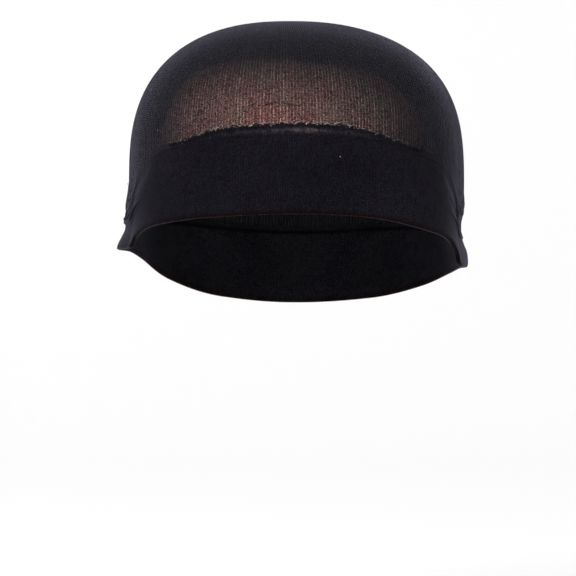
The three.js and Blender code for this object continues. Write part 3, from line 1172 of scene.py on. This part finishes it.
piece("crown_cloth", crown_cloth(), "sheer_knit", sheer_film(), "crown")
threads_piece("crown_wales", "sheer_knit", wale_paths(rng), WALE_RADIUS, 4, rib_thread)
threads_piece("crown_courses", "sheer_knit", course_paths(rng), COURSE_RADIUS, 3, course_thread, closed=True)
threads_piece("crown_drawn", "sheer_knit", drawn_paths(rng), DRAWN_RADIUS, 4, drawn_thread)

piece("seam_ridge", seam_ridge(rng), "seam_knit", ridge_thread, "seam")
piece("seam_strip", seam_strip(), "seam_knit", strip_film())
threads_piece("seam_uprights", "seam_knit", strip_paths(rng), UPRIGHT_RADIUS, 4, strip_thread)
loops_piece(
    "seam_picots",
    stitch_points(rng, each=3, below=0.35, uneven=0.42, out=FILM_OUTER + 0.32),
    Loop_Radius=0.0004,
    Thread_Radius=0.00016,
    Lean=0.8,
    Least=0.4,
    Most=1.4,
    Finish=picot_thread,
)
loops_piece(
    "seam_overlock",
    stitch_points(rng, each=2, below=1.0, uneven=0.35, out=1.25),
    Loop_Radius=0.0008,
    Thread_Radius=0.0002,
    Sweep=math.pi * 1.4,
    Lean=1.6,
    Least=0.5,
    Most=1.25,
    Seed=SEED + 7,
    Finish=ridge_thread,
)

piece("band_cloth", band_cloth(), "band_knit", band_knit(), "band")
threads_piece("lint_fibres", "band_knit", lint_paths(rng), LINT_RADIUS, 4, lint_fibre)


# Stage, in metres

FLOOR = -0.29
FLOOR_NEAR = -4.0
FLOOR_FAR = 1.6
WALL_TOP = 4.0
WALL_BEND = 0.9
HALF_BACKDROP = 5.0
PAPER = (0.93, 0.93, 0.93, 1)
AIM = (0, 0, -0.05)
CAMERA_PLACE = (-0.0039, -1.5, -0.1214)
CAMERA_LENS = 203.8


def backdrop():
    """A pale floor that curves up into a wall."""
    profile = [(FLOOR_NEAR, FLOOR), (FLOOR_FAR, FLOOR)]
    for angle in np.linspace(0.1, math.pi / 2, 14):
        reach, rise = WALL_BEND * math.sin(angle), WALL_BEND * (1 - math.cos(angle))
        profile.append((FLOOR_FAR + reach, FLOOR + rise))
    profile.append((FLOOR_FAR + WALL_BEND, WALL_TOP))
    mesh = bpy.data.meshes.new("backdrop")
    count = len(profile)
    vertices = [(side * HALF_BACKDROP, y, z) for side in (-1, 1) for y, z in profile]
    mesh.from_pydata(vertices, [], [(i, i + 1, count + i + 1, count + i) for i in range(count - 1)])
    mesh.polygons.foreach_set("use_smooth", np.ones(count - 1, bool))
    obj = bpy.data.objects.new("backdrop", mesh)
    scene.collection.objects.link(obj)
    material = bpy.data.materials.new("Backdrop Paper")
    material.use_nodes = True
    shader = material.node_tree.nodes["Principled BSDF"]
    shader.inputs["Base Color"].default_value = PAPER
    shader.inputs["Roughness"].default_value = 1
    shader.inputs["Specular IOR Level"].default_value = 0
    mesh.materials.append(material)


def lamp(name, place, size, power):
    """A round studio lamp that points at the middle of the cap."""
    light = bpy.data.lights.new(name, "AREA")
    light.shape = "DISK"
    light.size = size
    light.energy = power
    obj = bpy.data.objects.new(name, light)
    scene.collection.objects.link(obj)
    obj.location = place
    x, y, z = np.array(AIM, float) - np.array(place, float)
    tilt = math.acos(-z / math.sqrt(x * x + y * y + z * z))
    obj.rotation_euler = (tilt, 0, math.pi - math.atan2(x, -y))


def camera():
    """The camera, level and straight in front of the cap."""
    made = bpy.data.cameras.new("camera")
    made.sensor_width = 36
    made.lens = CAMERA_LENS
    made.clip_start = 0.01
    obj = bpy.data.objects.new("camera", made)
    scene.collection.objects.link(obj)
    obj.location = CAMERA_PLACE
    obj.rotation_euler = (math.pi / 2, 0, 0)
    scene.camera = obj


backdrop()
world = bpy.data.worlds.new("Studio")
world.use_nodes = True
world.node_tree.nodes["Background"].inputs["Color"].default_value = (1, 1, 1, 1)
world.node_tree.nodes["Background"].inputs["Strength"].default_value = 1.0
scene.world = world
lamp("key", (-0.9, -1.6, 1.1), size=1.0, power=18)
lamp("fill", (1.2, -1.3, 0.5), size=1.2, power=1.2)
lamp("side", (-1.7, -0.1, 0.3), size=1.0, power=14)
camera()
scene.view_settings.view_transform = "Standard"
